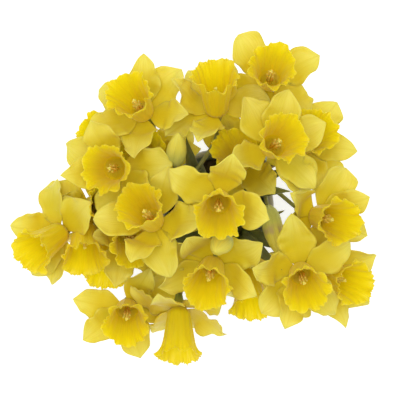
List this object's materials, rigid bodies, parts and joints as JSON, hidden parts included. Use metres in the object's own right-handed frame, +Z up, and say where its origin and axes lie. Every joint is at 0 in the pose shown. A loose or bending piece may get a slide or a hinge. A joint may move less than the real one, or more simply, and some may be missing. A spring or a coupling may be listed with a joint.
{
  "type": "potted daffodil",
  "caption": "Round glazed pot of miniature trumpet daffodils in soil, with bulbs, forked flower stems, strap leaves, buds and a wide dome of open yellow blooms.",
  "frame": {"origin": "middle of the pot's foot, on the surface that the pot stands on", "axes": "+Z up, +Y towards the back of the pot and +X to its right, as the part is seen from its front"},
  "size_m": [0.2719, 0.2389, 0.2621],
  "materials": {
    "pot": "satin",
    "soil": "matte",
    "bulb": "matte",
    "shoot": "satin",
    "tepal": "matte",
    "corona": "matte",
    "bud": "matte"
  },
  "bodies": {
    "root": {"pot": "pot", "soil": "soil", "bulb_1": "bulb", "shoot_1": "shoot", "bulb_2": "bulb", "shoot_2": "shoot", "bulb_3": "bulb", "shoot_3": "shoot", "bulb_4": "bulb", "shoot_4": "shoot", "perianth_f": "tepal", "corona_f": "corona", "perianth_g": "tepal", "corona_g": "corona", "perianth_d": "tepal", "corona_d": "corona", "perianth_t": "tepal", "corona_t": "corona", "perianth_r": "tepal", "corona_r": "corona", "perianth_a": "tepal", "corona_a": "corona", "perianth_b": "tepal", "corona_b": "corona", "perianth_u": "tepal", "corona_u": "corona", "perianth_h": "tepal", "corona_h": "corona", "perianth_c": "tepal", "corona_c": "corona", "perianth_q": "tepal", "corona_q": "corona", "perianth_n": "tepal", "corona_n": "corona", "perianth_l": "tepal", "corona_l": "corona", "perianth_p": "tepal", "corona_p": "corona", "perianth_m": "tepal", "corona_m": "corona", "perianth_o": "tepal", "corona_o": "corona", "perianth_k": "tepal", "corona_k": "corona", "perianth_j": "tepal", "corona_j": "corona", "perianth_i": "tepal", "corona_i": "corona", "perianth_w": "tepal", "corona_w": "corona", "perianth_e": "tepal", "corona_e": "corona", "perianth_v": "tepal", "corona_v": "corona", "perianth_s": "tepal", "corona_s": "corona", "bud_1": "bud", "bud_2": "bud", "bud_3": "bud"}
  },
  "joints": []
}
